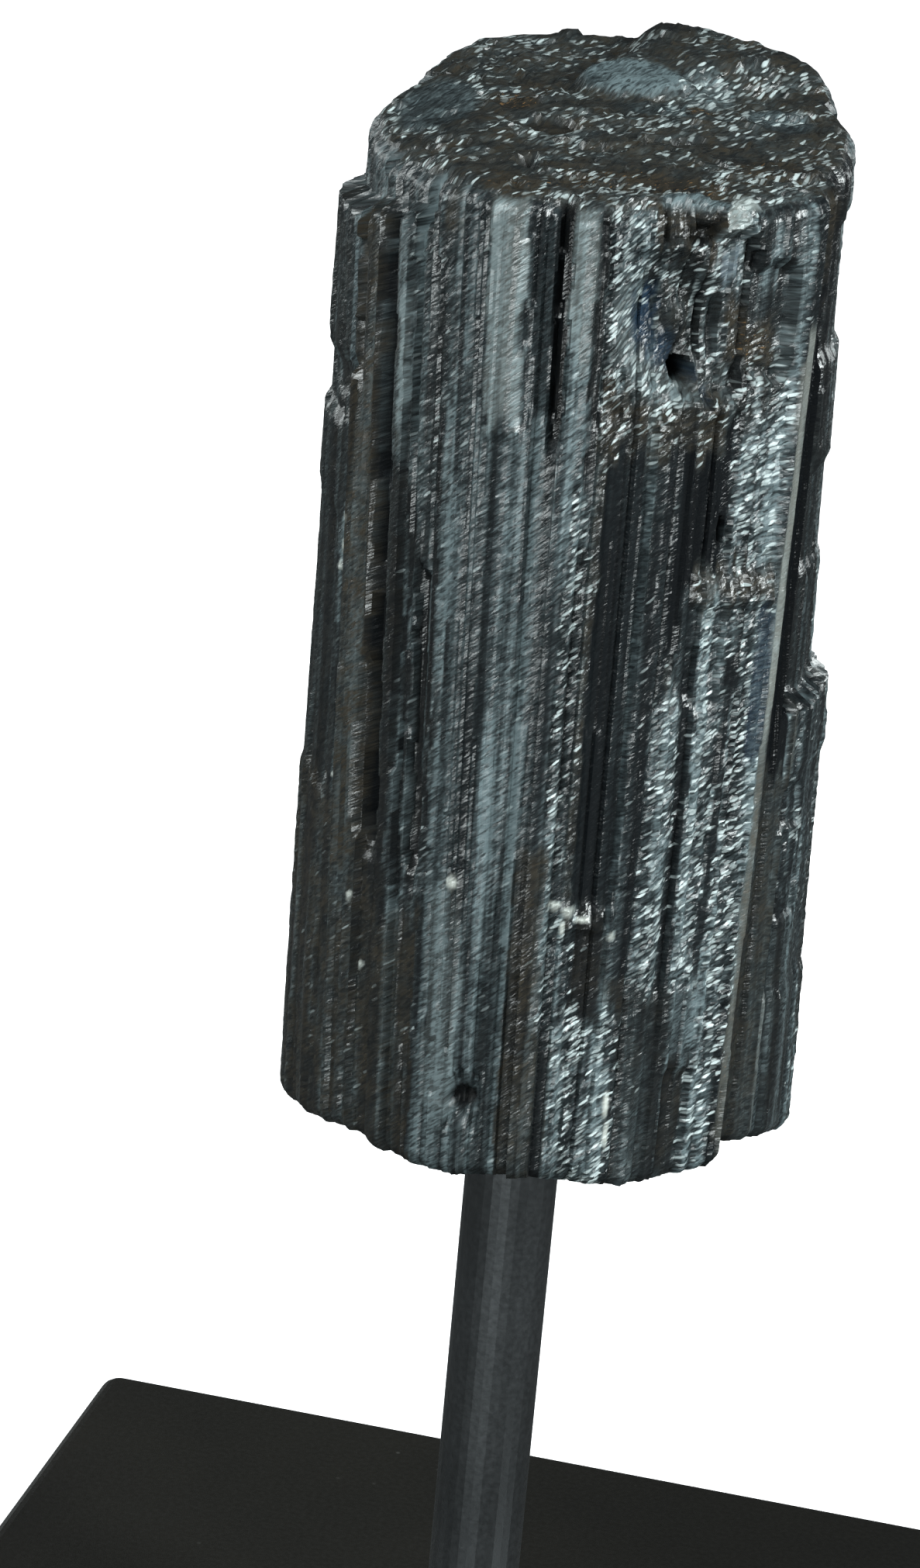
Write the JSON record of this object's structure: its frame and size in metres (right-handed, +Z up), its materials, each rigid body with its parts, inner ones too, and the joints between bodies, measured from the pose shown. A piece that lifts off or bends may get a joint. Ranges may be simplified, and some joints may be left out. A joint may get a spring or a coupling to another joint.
{
  "type": "tourmaline crystal on stand",
  "caption": "Black columnar tourmaline crystal with a rough stepped end, drilled and glued upright on a round rod over a flat square metal base",
  "frame": {"origin": "middle of the base plate's underside, on the surface that the stand rests on", "axes": "+Z up along the rod; X and Y along the base plate's sides; the crystal's pictured front faces mostly -Y"},
  "size_m": [0.1, 0.1, 0.1547],
  "materials": {
    "stand_coat": "satin",
    "steel": "satin",
    "tourmaline": "gloss"
  },
  "bodies": {
    "root": {"base_plate": "stand_coat", "rod": "stand_coat", "screw": "steel", "crystal": "tourmaline"}
  },
  "joints": []
}
